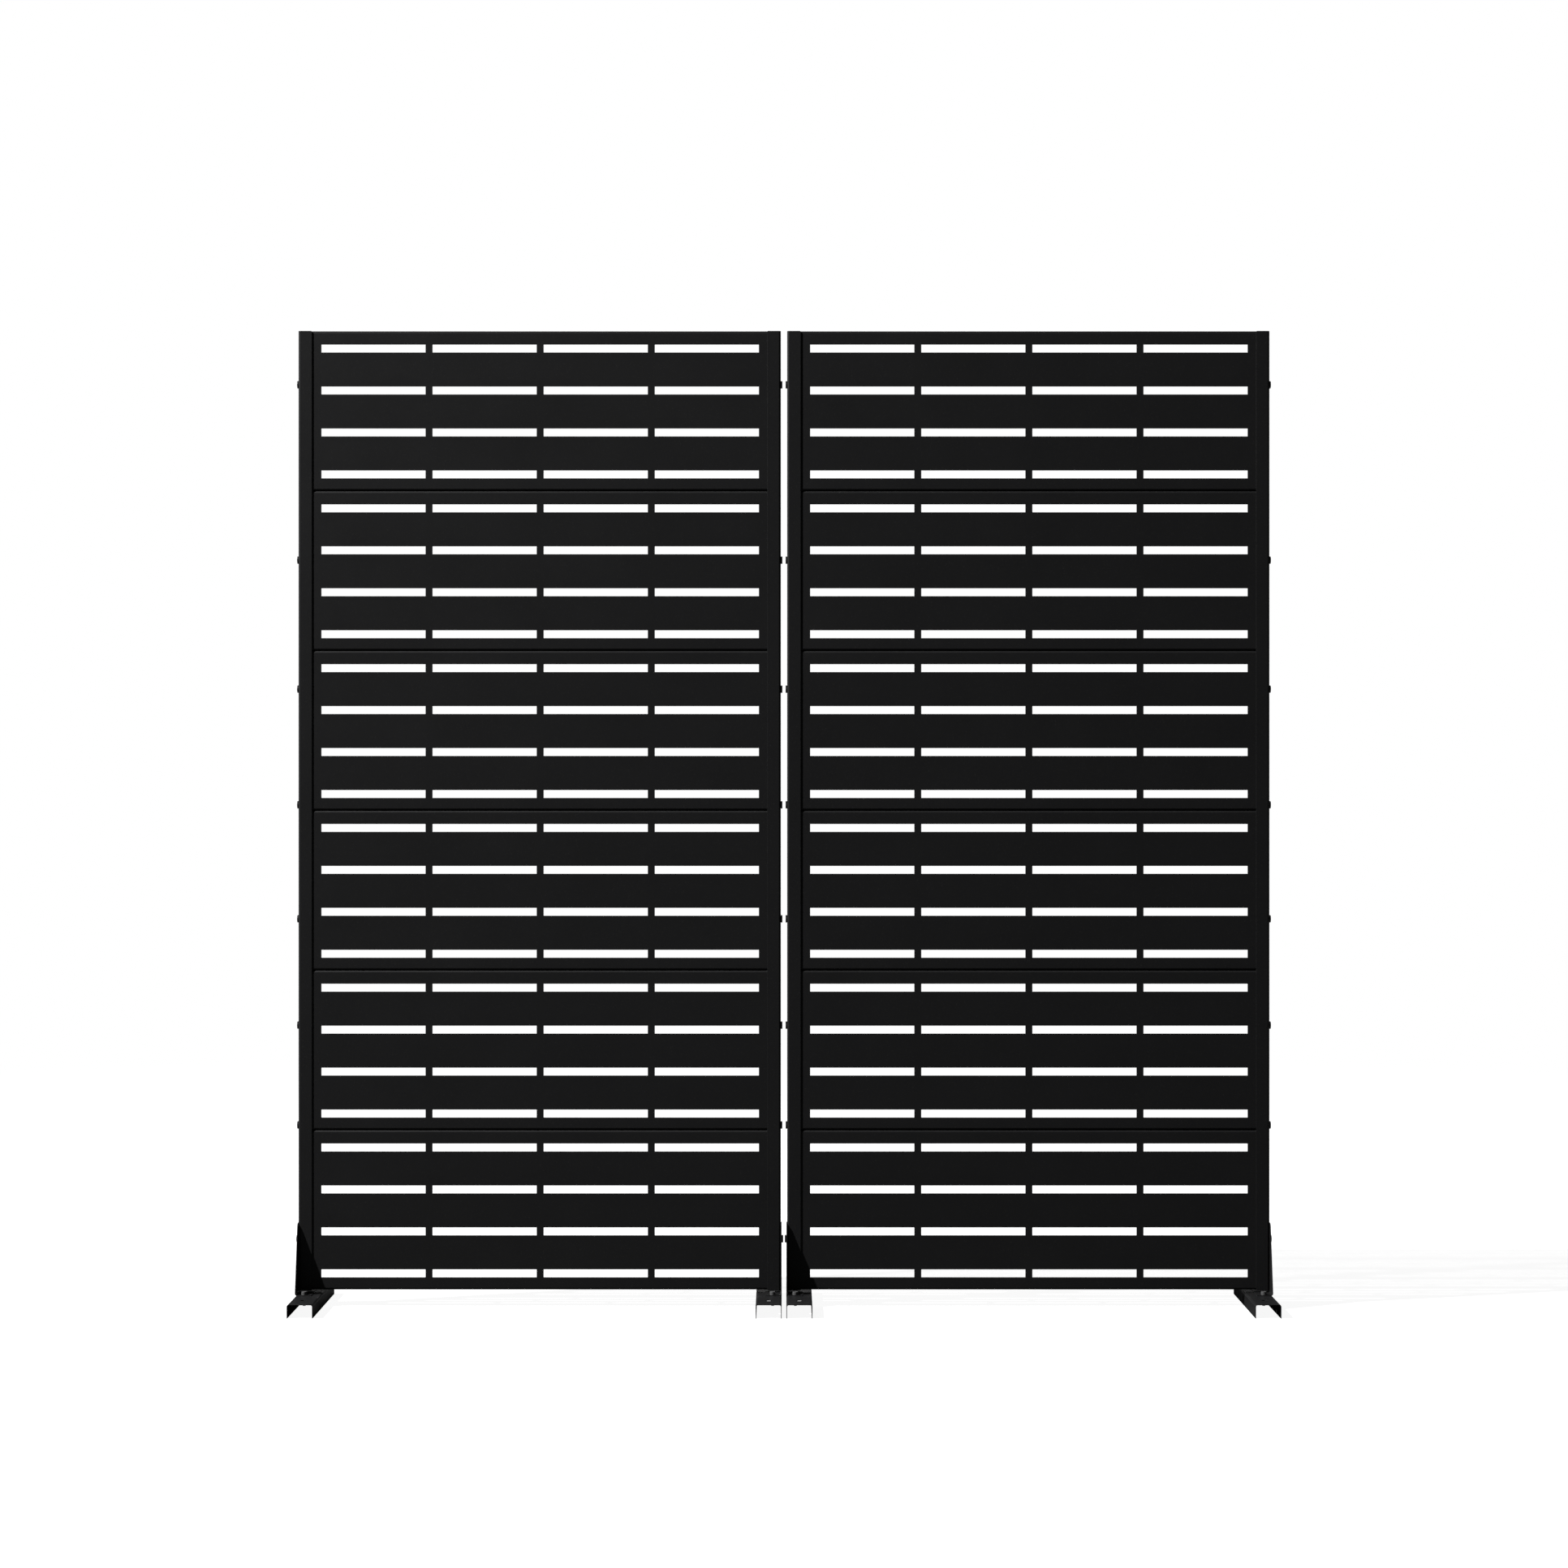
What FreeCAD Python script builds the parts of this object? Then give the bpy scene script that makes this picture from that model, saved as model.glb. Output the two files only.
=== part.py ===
import FreeCAD, Part

import math
import os

from FreeCAD import Rotation, Vector

# Garden privacy screen: two alike free-standing screens of folded sheet steel, set side by side.
# Each has slotted trays stacked between two channel posts, and each post stands on a foot of its own.
# X runs across both screens, Y from front to back and Z up, in millimetres.
# The origin is on the ground, midway between the screens and midway along the feet.

# Both screens
SCREEN_WIDTH = 890.0  # over the outer faces of the two posts
SCREEN_GAP = 11.7  # between the posts of the two screens

# Foot: a channel with its open side down
FOOT_LENGTH = 300.0
FOOT_WIDTH = 47.0
FOOT_HEIGHT = 25.0
FOOT_SHEET = 1.2
FOOT_BEND = 4.2  # outer radius of its bends
GROUND_HOLE = 11.0  # diameter, for a peg or an anchor
GROUND_HOLE_INSET = 50.0  # from the end of the foot to the middle of the hole

# Gusset: the bent plate that ties a post to its foot
GUSSET_SHEET = 1.5
GUSSET_BEND = 4.5
GUSSET_RISE = 129.5  # above the foot
GUSSET_TOP_WIDTH = 27.0
GUSSET_FOOT_WIDTH = 95.0
GUSSET_CORNER = 8.0  # radius of its two upper corners
GUSSET_LEDGE = 30.0  # how far it reaches over the foot
GUSSET_BOLT_DROP = 30.3  # from its upper edge to its bolt
FOOT_BOLT_SPREAD = 40.0  # from the post's middle to each foot bolt, along the foot
FOOT_BOLT_INSET = 16.5  # from the gusset's outer face

# Post: a channel that takes the ends of the trays
POST_SHEET = 1.5
POST_BEND = 4.0
POST_DEPTH = 22.0
POST_FLANGE = 25.0
POST_CLIP = 2.0  # taken off the flanges' corners at both ends of the post
POST_CLEARANCE = 3.5  # between the gusset's ledge and the lower end of the post

# Tray: the slotted front with its four edges folded back
TRAY_COUNT = 6
TRAY_HEIGHT = 294.8
TRAY_SHEET = 1.2
TRAY_BEND = 4.5
TRAY_LIFT = 1.2  # from the lower end of the post to the lowest tray
TRAY_FACE_CLEARANCE = 0.1  # to the post's flanges, at the front and at the back
TRAY_END_CLEARANCE = 0.3  # to the post's web

# Slots in a tray
SLOT_COLUMNS = 4
SLOT_ROWS = 4
SLOT_HEIGHT = 14.45
SLOT_BRIDGE = 13.0  # between two slots of a row
SLOT_LEFT_MARGIN = 42.5  # from the left side of the screen
SLOT_RIGHT_MARGIN = 40.5
SLOT_TOP_MARGIN = 25.1  # from the upper edge of the tray
SLOT_BOTTOM_MARGIN = 23.05

# Bolts with a round head and a square neck, and their nuts
BOLT_SHANK = 6.0
SIDE_BOLT_HEAD = 14.0
SIDE_BOLT_HEAD_HEIGHT = 3.0
FOOT_BOLT_HEAD = 10.4
FOOT_BOLT_HEAD_HEIGHT = 6.0
BOLT_HEAD_EDGE = 0.7  # sloped edge round the flat on a head
BOLT_NECK_LENGTH = 2.6
HEAD_SIDES = 8  # flats that stand for a round head
SHANK_SIDES = 6  # flats that stand for a round shank or bore
BOLT_HOLE_CLEARANCE = 0.4  # of the square holes over the square neck
SIDE_BOLT_LENGTH = 16.0
FOOT_BOLT_LENGTH = 20.0
NUT_ACROSS_FLATS = 10.0
NUT_HEIGHT = 5.0
NUT_CLEARANCE = 0.2  # of the bore over the shank
END_SLOT_MARGIN = 4.0  # from the tray's edge to the bolt slot in its end flange
END_SLOT_CLEARANCE = 0.6  # of that slot over the square neck

# One entry for each side bolt: the tray, counted from the lowest, and the height above its lower edge
SIDE_BOLTS = [(2, 8.4), (2, 192.8), (3, 94.4), (4, 10.2), (4, 223.9), (5, 167.4), (6, 196.5)]

# Heights above the ground
ledge_top = FOOT_HEIGHT + GUSSET_SHEET
post_bottom = ledge_top + POST_CLEARANCE
stack_bottom = post_bottom + TRAY_LIFT
stack_top = stack_bottom + TRAY_COUNT * TRAY_HEIGHT
gusset_top = FOOT_HEIGHT + GUSSET_RISE
gusset_bolt_height = gusset_top - GUSSET_BOLT_DROP

# Depths, from the middle of the posts
post_front = -POST_DEPTH / 2
tray_front = post_front + POST_SHEET + TRAY_FACE_CLEARANCE
tray_back = -tray_front
end_flange_back = -post_front - POST_BEND  # clear of the bend in the post's back corner
end_fold = min(TRAY_BEND, -tray_front - NUT_ACROSS_FLATS / 2)  # small enough to leave the nut a flat seat

square_hole = BOLT_SHANK + BOLT_HOLE_CLEARANCE
end_slot_width = BOLT_SHANK + END_SLOT_CLEARANCE

TOUCHING = 1e-6  # two points nearer than this are one point

ACROSS = Vector(1, 0, 0)
BACK = Vector(0, 1, 0)
UP = Vector(0, 0, 1)


def rounded_face(corners):
    """The flat face inside a ring of (point, radius) corners, each rounded to its radius."""
    rounds = []
    edges = []
    for index, (point, radius) in enumerate(corners):
        to_last = (corners[index - 1][0] - point).normalize()
        to_next = (corners[(index + 1) % len(corners)][0] - point).normalize()
        half_angle = to_last.getAngle(to_next) / 2
        tangent = radius / math.tan(half_angle)
        start = point + to_last * tangent
        end = point + to_next * tangent
        rounds.append((start, end))
        if radius > 0:
            inward = (to_last + to_next).normalize()
            middle = point + inward * (radius / math.sin(half_angle) - radius)
            edges.append(Part.Arc(start, middle, end).toShape())
    for index, (start, end) in enumerate(rounds):
        next_start = rounds[(index + 1) % len(rounds)][0]
        if not end.isEqual(next_start, TOUCHING):
            edges.append(Part.makeLine(end, next_start))
    return Part.Face(Part.Wire(Part.__sortEdges__(edges)))


def folded_sheet(path, sheet, bend, sweep):
    """Sheet metal along a path of square bends that all turn the same way, swept straight.

    The path follows the outer face, and bend is the outer radius of every bend.
    """
    turn = (path[1] - path[0]).cross(path[2] - path[1]).normalize()
    inward = [turn.cross(b - a).normalize() * sheet for a, b in zip(path, path[1:])]
    inner = [path[0] + inward[0]]
    inner += [path[i] + inward[i - 1] + inward[i] for i in range(1, len(path) - 1)]
    inner += [path[-1] + inward[-1]]
    ends = (0, len(path) - 1)
    outer_corners = [(p, 0 if i in ends else bend) for i, p in enumerate(path)]
    inner_corners = [(p, 0 if i in ends else bend - sheet) for i, p in enumerate(inner)]
    return rounded_face(outer_corners + inner_corners[::-1]).extrude(sweep)


def box_between(low, high):
    """A block from its lowest to its highest corner."""
    size = high - low
    return Part.makeBox(size.x, size.y, size.z, low)


def turned_to(shape, seat, axis):
    """A shape drawn upwards from the origin, turned along axis and set on its seat."""
    turned = shape.copy()
    turned.rotate(Vector(), *axis_and_angle(Rotation(UP, axis)))
    turned.translate(seat)
    return turned


def axis_and_angle(rotation):
    """The axis of a rotation and its angle in degrees."""
    return rotation.Axis, math.degrees(rotation.Angle)


def square_cut(middle, axis, width, length):
    """A square block along axis, to punch a hole for a bolt's neck."""
    block = Part.makeBox(width, width, length, Vector(-width / 2, -width / 2, -length / 2))
    return turned_to(block, middle, axis)


def ring(radius, sides, height):
    """A regular polygon round the Z axis; radius is to its corners, and one of them lies on +X."""
    corners = []
    for index in range(sides + 1):
        angle = math.radians(360 / sides * index)
        corners.append(Vector(radius * math.cos(angle), radius * math.sin(angle), height))
    return Part.makePolygon(corners)


def bolt(length, head_width, head_height):
    """A bolt with its head up and the underside of the head at the origin.

    Its rounds are drawn as flats, because there are many of them and they are small.
    """
    edge_start = head_height - BOLT_HEAD_EDGE
    base = ring(head_width / 2, HEAD_SIDES, 0)
    rim = ring(head_width / 2, HEAD_SIDES, edge_start)
    crown = ring(head_width / 2 - BOLT_HEAD_EDGE, HEAD_SIDES, head_height)
    head = Part.makeLoft([base, rim, crown], True, True)
    half = BOLT_SHANK / 2
    neck = box_between(Vector(-half, -half, -BOLT_NECK_LENGTH), Vector(half, half, 0))
    shank_end = Part.Face(ring(half, SHANK_SIDES, -length))
    shank = shank_end.extrude(UP * (length - BOLT_NECK_LENGTH))
    return head.fuse([neck, shank]).removeSplitter()


def nut():
    """A hexagon nut that starts at the origin and goes down, with two corners along X."""
    corner = NUT_ACROSS_FLATS / 2 / math.cos(math.radians(30))
    body = Part.Face(ring(corner, 6, 0)).extrude(UP * -NUT_HEIGHT)
    bore = Part.Face(ring((BOLT_SHANK + NUT_CLEARANCE) / 2, SHANK_SIDES, 0)).extrude(UP * -NUT_HEIGHT)
    return body.cut(bore)


def post(face, inward, bolt_heights):
    """A channel post whose outer face stands at face and whose flanges point inward."""
    path = [
        Vector(face + inward * POST_FLANGE, post_front, post_bottom),
        Vector(face, post_front, post_bottom),
        Vector(face, -post_front, post_bottom),
        Vector(face + inward * POST_FLANGE, -post_front, post_bottom),
    ]
    channel = folded_sheet(path, POST_SHEET, POST_BEND, UP * (stack_top - post_bottom))
    flange_edge = face + inward * POST_FLANGE
    clipped_edge = flange_edge - inward * POST_CLIP
    clipped = Part.makePolygon(
        [
            Vector(face, post_front, post_bottom),
            Vector(clipped_edge, post_front, post_bottom),
            Vector(flange_edge, post_front, post_bottom + POST_CLIP),
            Vector(flange_edge, post_front, stack_top - POST_CLIP),
            Vector(clipped_edge, post_front, stack_top),
            Vector(face, post_front, stack_top),
            Vector(face, post_front, post_bottom),
        ]
    )
    envelope = Part.Face(clipped).extrude(BACK * POST_DEPTH)
    holes = [
        square_cut(Vector(face, 0, height), ACROSS, square_hole, 4 * POST_SHEET)
        for height in bolt_heights
    ]
    return channel.common(envelope).cut(holes)


def foot(face, inward):
    """A foot whose outer side is at face, with two ground holes and two bolt holes in its top."""
    front = -FOOT_LENGTH / 2
    path = [
        Vector(face, front, 0),
        Vector(face, front, FOOT_HEIGHT),
        Vector(face + inward * FOOT_WIDTH, front, FOOT_HEIGHT),
        Vector(face + inward * FOOT_WIDTH, front, 0),
    ]
    channel = folded_sheet(path, FOOT_SHEET, FOOT_BEND, BACK * FOOT_LENGTH)
    holes = []
    for side in (-1, 1):
        ground_hole = Vector(
            face + inward * FOOT_WIDTH / 2,
            side * (FOOT_LENGTH / 2 - GROUND_HOLE_INSET),
            FOOT_HEIGHT - 2 * FOOT_SHEET,
        )
        holes.append(Part.makeCylinder(GROUND_HOLE / 2, 4 * FOOT_SHEET, ground_hole))
        bolt_hole = foot_bolt_seat(face, inward, side)
        holes.append(square_cut(bolt_hole, UP, square_hole, 4 * (GUSSET_SHEET + FOOT_SHEET)))
    return channel.cut(holes)


def foot_bolt_seat(face, inward, side):
    """Where the head of a foot bolt bears on the gusset's ledge; side is -1 in front and 1 behind."""
    return Vector(face + inward * FOOT_BOLT_INSET, side * FOOT_BOLT_SPREAD, ledge_top)


def gusset(face, inward):
    """A gusset whose outer face is at face: a tapered plate with its lower edge bent over the foot."""
    half_foot = GUSSET_FOOT_WIDTH / 2
    half_top = GUSSET_TOP_WIDTH / 2
    path = [
        Vector(face, -half_foot, gusset_top),
        Vector(face, -half_foot, FOOT_HEIGHT),
        Vector(face + inward * GUSSET_LEDGE, -half_foot, FOOT_HEIGHT),
    ]
    bent = folded_sheet(path, GUSSET_SHEET, GUSSET_BEND, BACK * GUSSET_FOOT_WIDTH)
    outline = rounded_face(
        [
            (Vector(face, -half_foot, FOOT_HEIGHT), 0),
            (Vector(face, half_foot, FOOT_HEIGHT), 0),
            (Vector(face, half_top, gusset_top), GUSSET_CORNER),
            (Vector(face, -half_top, gusset_top), GUSSET_CORNER),
        ]
    ).extrude(ACROSS * inward * GUSSET_LEDGE)
    holes = [
        square_cut(foot_bolt_seat(face, inward, side), UP, square_hole, 4 * GUSSET_SHEET)
        for side in (-1, 1)
    ]
    post_bolt = Vector(face, 0, gusset_bolt_height)
    holes.append(square_cut(post_bolt, ACROSS, square_hole, 4 * GUSSET_SHEET))
    return bent.common(outline).cut(holes)


def tray(left, number):
    """One slotted tray of the screen whose left side is at left; number counts from the lowest."""
    inset = POST_SHEET + TRAY_END_CLEARANCE
    start = left + inset
    end = left + SCREEN_WIDTH - inset
    bottom = stack_bottom + (number - 1) * TRAY_HEIGHT
    top = bottom + TRAY_HEIGHT
    face_start = start + TRAY_BEND
    face_end = end - TRAY_BEND
    path = [
        Vector(face_start, tray_back, bottom),
        Vector(face_start, tray_front, bottom),
        Vector(face_start, tray_front, top),
        Vector(face_start, tray_back, top),
    ]
    front = folded_sheet(path, TRAY_SHEET, TRAY_BEND, ACROSS * (face_end - face_start))
    flanges = [end_flange(start, 1, bottom), end_flange(end, -1, bottom)]
    return front.fuse(flanges).removeSplitter().cut(tray_slots(left, bottom))


def end_flange(face, inward, bottom):
    """The folded end of a tray, with the long slot that takes a side bolt at any height.

    The fold stops short of the tray's upper and lower bends, and the flat behind it is full height.
    The post hides the fold, so one flat stands for its round.
    """
    fold_bottom = Vector(0, 0, bottom + TRAY_BEND)
    flat_front = tray_front + end_fold
    fold = Part.makePolygon(
        [
            Vector(face + inward * TRAY_BEND, tray_front) + fold_bottom,
            Vector(face + inward * end_fold, tray_front) + fold_bottom,
            Vector(face, flat_front) + fold_bottom,
            Vector(face + inward * TRAY_SHEET, flat_front) + fold_bottom,
            Vector(face + inward * end_fold, tray_front + TRAY_SHEET) + fold_bottom,
            Vector(face + inward * TRAY_BEND, tray_front + TRAY_SHEET) + fold_bottom,
            Vector(face + inward * TRAY_BEND, tray_front) + fold_bottom,
        ]
    )
    folded = Part.Face(fold).extrude(UP * (TRAY_HEIGHT - 2 * TRAY_BEND))
    sides = sorted((face, face + inward * TRAY_SHEET))
    flat = box_between(
        Vector(sides[0], flat_front, bottom),
        Vector(sides[1], end_flange_back, bottom + TRAY_HEIGHT),
    )
    slot = box_between(
        Vector(face - 2 * TRAY_SHEET, -end_slot_width / 2, bottom + END_SLOT_MARGIN),
        Vector(face + 2 * TRAY_SHEET, end_slot_width / 2, bottom + TRAY_HEIGHT - END_SLOT_MARGIN),
    )
    return folded.fuse(flat).cut(slot)


def tray_slots(left, bottom):
    """The blocks that cut one tray's rows of slots."""
    field = SCREEN_WIDTH - SLOT_LEFT_MARGIN - SLOT_RIGHT_MARGIN
    length = (field - (SLOT_COLUMNS - 1) * SLOT_BRIDGE) / SLOT_COLUMNS
    rise = TRAY_HEIGHT - SLOT_TOP_MARGIN - SLOT_BOTTOM_MARGIN - SLOT_HEIGHT
    row_pitch = rise / (SLOT_ROWS - 1)
    blocks = []
    for column in range(SLOT_COLUMNS):
        for row in range(SLOT_ROWS):
            corner = Vector(
                left + SLOT_LEFT_MARGIN + column * (length + SLOT_BRIDGE),
                tray_front - TRAY_SHEET,
                bottom + SLOT_BOTTOM_MARGIN + row * row_pitch,
            )
            blocks.append(Part.makeBox(length, 3 * TRAY_SHEET, SLOT_HEIGHT, corner))
    return blocks


def export(name, solids):
    """Write one sub-part; several solids are alike fasteners that share a node."""
    shape = solids[0] if len(solids) == 1 else Part.makeCompound(solids)
    shape.exportStep(os.path.join("parts", name + ".step"))


os.makedirs("parts", exist_ok=True)

side_bolt = bolt(SIDE_BOLT_LENGTH, SIDE_BOLT_HEAD, SIDE_BOLT_HEAD_HEIGHT)
foot_bolt = bolt(FOOT_BOLT_LENGTH, FOOT_BOLT_HEAD, FOOT_BOLT_HEAD_HEIGHT)
hex_nut = nut()
side_bolt_heights = [
    stack_bottom + (number - 1) * TRAY_HEIGHT + height for number, height in SIDE_BOLTS
]
nut_depth = POST_SHEET + TRAY_END_CLEARANCE + TRAY_SHEET

for screen, left in (("left", -SCREEN_GAP / 2 - SCREEN_WIDTH), ("right", SCREEN_GAP / 2)):
    for number in range(1, TRAY_COUNT + 1):
        export(f"{screen}_tray_{number}", [tray(left, number)])

    gusset_bolts = []
    gusset_nuts = []
    foot_bolts = []
    foot_nuts = []
    for end, face, inward in (("left", left, 1), ("right", left + SCREEN_WIDTH, -1)):
        side = "outer" if end == screen else "inner"
        outward = ACROSS * -inward
        gusset_face = face - inward * GUSSET_SHEET

        export(f"{screen}_{side}_post", [post(face, inward, side_bolt_heights + [gusset_bolt_height])])
        export(f"{screen}_{side}_foot", [foot(gusset_face, inward)])
        export(f"{screen}_{side}_gusset", [gusset(gusset_face, inward)])

        bolts = [turned_to(side_bolt, Vector(face, 0, z), outward) for z in side_bolt_heights]
        nut_face = face + inward * nut_depth
        nuts = [turned_to(hex_nut, Vector(nut_face, 0, z), outward) for z in side_bolt_heights]
        export(f"{screen}_{side}_side_bolts", bolts)
        export(f"{screen}_{side}_side_nuts", nuts)

        gusset_seat = Vector(gusset_face, 0, gusset_bolt_height)
        gusset_bolts.append(turned_to(side_bolt, gusset_seat, outward))
        gusset_nut_seat = Vector(nut_face, 0, gusset_bolt_height)
        gusset_nuts.append(turned_to(hex_nut, gusset_nut_seat, outward))

        for way in (-1, 1):
            seat = foot_bolt_seat(gusset_face, inward, way)
            foot_bolts.append(turned_to(foot_bolt, seat, UP))
            under_foot = seat - UP * (GUSSET_SHEET + FOOT_SHEET)
            foot_nuts.append(turned_to(hex_nut, under_foot, UP))

    export(f"{screen}_gusset_bolts", gusset_bolts)
    export(f"{screen}_gusset_nuts", gusset_nuts)
    export(f"{screen}_foot_bolts", foot_bolts)
    export(f"{screen}_foot_nuts", foot_nuts)
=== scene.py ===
import math

import bmesh
import bpy
from mathutils import Matrix, Vector


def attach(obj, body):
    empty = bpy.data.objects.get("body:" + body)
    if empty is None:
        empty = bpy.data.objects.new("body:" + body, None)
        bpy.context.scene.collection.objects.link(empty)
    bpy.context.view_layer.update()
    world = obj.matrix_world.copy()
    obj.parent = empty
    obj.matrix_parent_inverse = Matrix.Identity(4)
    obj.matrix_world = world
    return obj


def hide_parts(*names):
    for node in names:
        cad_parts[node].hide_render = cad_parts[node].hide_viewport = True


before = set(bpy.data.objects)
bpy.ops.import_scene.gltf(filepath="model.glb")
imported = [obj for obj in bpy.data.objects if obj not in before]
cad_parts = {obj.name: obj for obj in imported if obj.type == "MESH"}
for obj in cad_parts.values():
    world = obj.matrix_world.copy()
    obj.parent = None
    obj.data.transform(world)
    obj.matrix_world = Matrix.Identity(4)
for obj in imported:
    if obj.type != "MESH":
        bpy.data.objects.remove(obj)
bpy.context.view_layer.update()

# Feet: four channels folded from 1.2 mm sheet steel, open side down, one under each post.
# Powder-coated satin black. Each has two square holes for the gusset's bolts and a round hole near
# each end for a ground peg.
FOOT_SHEET = 0.0012
FOOT_BEND = 0.0042
FOOT_LENGTH = 0.300
FOOT_WIDTH = 0.047
FOOT_HEIGHT = 0.025
FOOT_OUTER_FACE = -0.89735
FOOT_BOLTS_IN = 0.0165
FOOT_BOLTS_APART = 0.080
PEG_HOLE = 0.011
PEG_HOLE_SIDES = 48
PEG_HOLES_APART = 0.200
PEG_DRILL_LENGTH = 0.010
SQUARE_HOLE = 0.0064
BEND_STEPS = 8
EDGE_ROUND = 0.00025
SHARPEST_BEND = 50
SCREEN_PITCH = 0.9017
HALF_TURN = Matrix.Rotation(math.pi, 4, "Z")
NEXT_SCREEN = Matrix.Translation((SCREEN_PITCH, 0, 0))
FOUR_CORNERS = {
    "left_outer": Matrix.Identity(4),
    "right_inner": NEXT_SCREEN,
    "right_outer": HALF_TURN,
    "left_inner": NEXT_SCREEN.inverted() @ HALF_TURN,
}
TOUCHING = 1e-6

CLOUDS_PER_METRE = 7.0
MOTTLES_PER_METRE = 160.0
PEEL_PER_METRE = 420.0
DUST_PER_METRE = 620.0
SPECKLES_PER_METRE = 1900.0
PEEL_SHARE = 0.6
CLOUD_CONTRAST = 0.12
WORN_REACH = 0.0007
WORN_SHARE = 0.7
WORN_MOTTLES = (0.35, 0.7)
DUST_COLOUR = (0.05, 0.05, 0.048, 1)
DUST_SHARE = 0.35
DUSTY_SPOTS = (0.74, 0.8)
CLOUDED_ROUGHNESS = 0.06
MOTTLED_ROUGHNESS = 0.05
WORN_ROUGHNESS = 0.1


class Value:
    """A socket's value. Arithmetic on it adds Math nodes."""

    def __init__(self, shader, socket):
        self.shader = shader
        self.socket = socket

    def math(self, operation, first, second):
        return self.shader.node("ShaderNodeMath", {"operation": operation}, {0: first, 1: second})

    def __add__(self, other):
        return self.math("ADD", self, other)

    def __sub__(self, other):
        return self.math("SUBTRACT", self, other)

    def __rsub__(self, other):
        return self.math("SUBTRACT", other, self)

    def __mul__(self, other):
        return self.math("MULTIPLY", self, other)

    __radd__ = __add__
    __rmul__ = __mul__

    def at_least(self, least):
        return self.math("MAXIMUM", self, least)


class Shader:
    """The node tree of a material or of the world."""

    def __init__(self, owner):
        owner.use_nodes = True
        self.tree = owner.node_tree
        self.tree.nodes.clear()

    def node(self, kind, settings, inputs, output=0):
        made = self.tree.nodes.new(kind)
        for name, setting in settings.items():
            setattr(made, name, setting)
        for name, value in inputs.items():
            if isinstance(value, Value):
                self.tree.links.new(value.socket, made.inputs[name])
            else:
                made.inputs[name].default_value = value
        if made.outputs:
            return Value(self, made.outputs[output])

    def clouds(self, place, scale, detail):
        """A noise from 0 to 1; scale is in features per metre."""
        sizes = {"Vector": place, "Scale": scale, "Detail": detail, "Roughness": 0.55}
        return self.node("ShaderNodeTexNoise", {}, sizes, "Fac")

    def step(self, value, low, high):
        """0 below low, 1 above high and smooth between."""
        ends = {"Value": value, "From Min": low, "From Max": high}
        return self.node("ShaderNodeMapRange", {"interpolation_type": "SMOOTHSTEP"}, ends)

    def colours(self, factor, first, second):
        ends = {0: factor, 6: first, 7: second}
        return self.node("ShaderNodeMix", {"data_type": "RGBA"}, ends, 2)

    def edges(self, radius):
        """0 on flats, rising towards 1 on edges and corners within a radius of them."""
        rounded = self.node("ShaderNodeBevel", {"samples": 6}, {"Radius": radius})
        true_normal = self.node("ShaderNodeNewGeometry", {}, {}, "Normal")
        alike = self.node(
            "ShaderNodeVectorMath", {"operation": "DOT_PRODUCT"}, {0: rounded, 1: true_normal}, "Value"
        )
        return self.step(1 - alike, 0.02, 0.25)


def coated_steel(name, colour, worn_colour, roughness, grain, specular):
    """A thin dark finish on steel: clouded, with fine grain and dust, and thinner on the edges."""
    material = bpy.data.materials.new(name)
    shader = Shader(material)
    place = shader.node("ShaderNodeTexCoord", {}, {}, "Object")
    clouding = shader.clouds(place, CLOUDS_PER_METRE, 3.0)
    mottle = shader.clouds(place, MOTTLES_PER_METRE, 2.0)
    peel = shader.clouds(place, PEEL_PER_METRE, 1.0)
    speckle = shader.clouds(place, SPECKLES_PER_METRE, 1.0)
    edge = shader.edges(WORN_REACH)
    wear = edge * shader.step(mottle, *WORN_MOTTLES)
    dust = shader.step(shader.clouds(place, DUST_PER_METRE, 0.0), *DUSTY_SPOTS)
    darker = (*[(1 - CLOUD_CONTRAST) * part for part in colour], 1)
    lighter = (*[(1 + CLOUD_CONTRAST) * part for part in colour], 1)
    clouded = shader.colours(clouding, darker, lighter)
    dusty = shader.colours(dust * DUST_SHARE, clouded, DUST_COLOUR)
    worn = shader.colours(wear * WORN_SHARE, dusty, (*worn_colour, 1))
    unevenness = CLOUDED_ROUGHNESS * (clouding - 0.5) + MOTTLED_ROUGHNESS * mottle
    surface_roughness = roughness + unevenness + WORN_ROUGHNESS * wear
    height = peel * PEEL_SHARE + speckle * (1 - PEEL_SHARE)
    relief = {"Strength": 1.0, "Distance": grain, "Height": height}
    surface = shader.node(
        "ShaderNodeBsdfPrincipled",
        {},
        {
            "Base Color": worn,
            "Roughness": surface_roughness,
            "Specular IOR Level": specular,
            "Normal": shader.node("ShaderNodeBump", {}, relief),
        },
    )
    shader.node("ShaderNodeOutputMaterial", {}, {"Surface": surface})
    return material


def satin_coat(name):
    """The powder coat of all the sheet pieces."""
    return coated_steel(
        name,
        colour=(0.0084, 0.0084, 0.0088),
        worn_colour=(0.024, 0.024, 0.025),
        roughness=0.43,
        grain=0.000018,
        specular=0.28,
    )


def flat_sheet(name, middle, size, turn):
    """A flat rectangle of sheet in edit mode; size is across and along it before it is turned."""
    bpy.ops.object.select_all(action="DESELECT")
    bpy.ops.mesh.primitive_plane_add(size=1, location=middle, rotation=turn)
    piece = bpy.context.object
    piece.name = name
    piece.scale = (*size, 1)
    bpy.ops.object.transform_apply(location=True, rotation=True, scale=True)
    bpy.ops.object.mode_set(mode="EDIT")
    return piece


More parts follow.
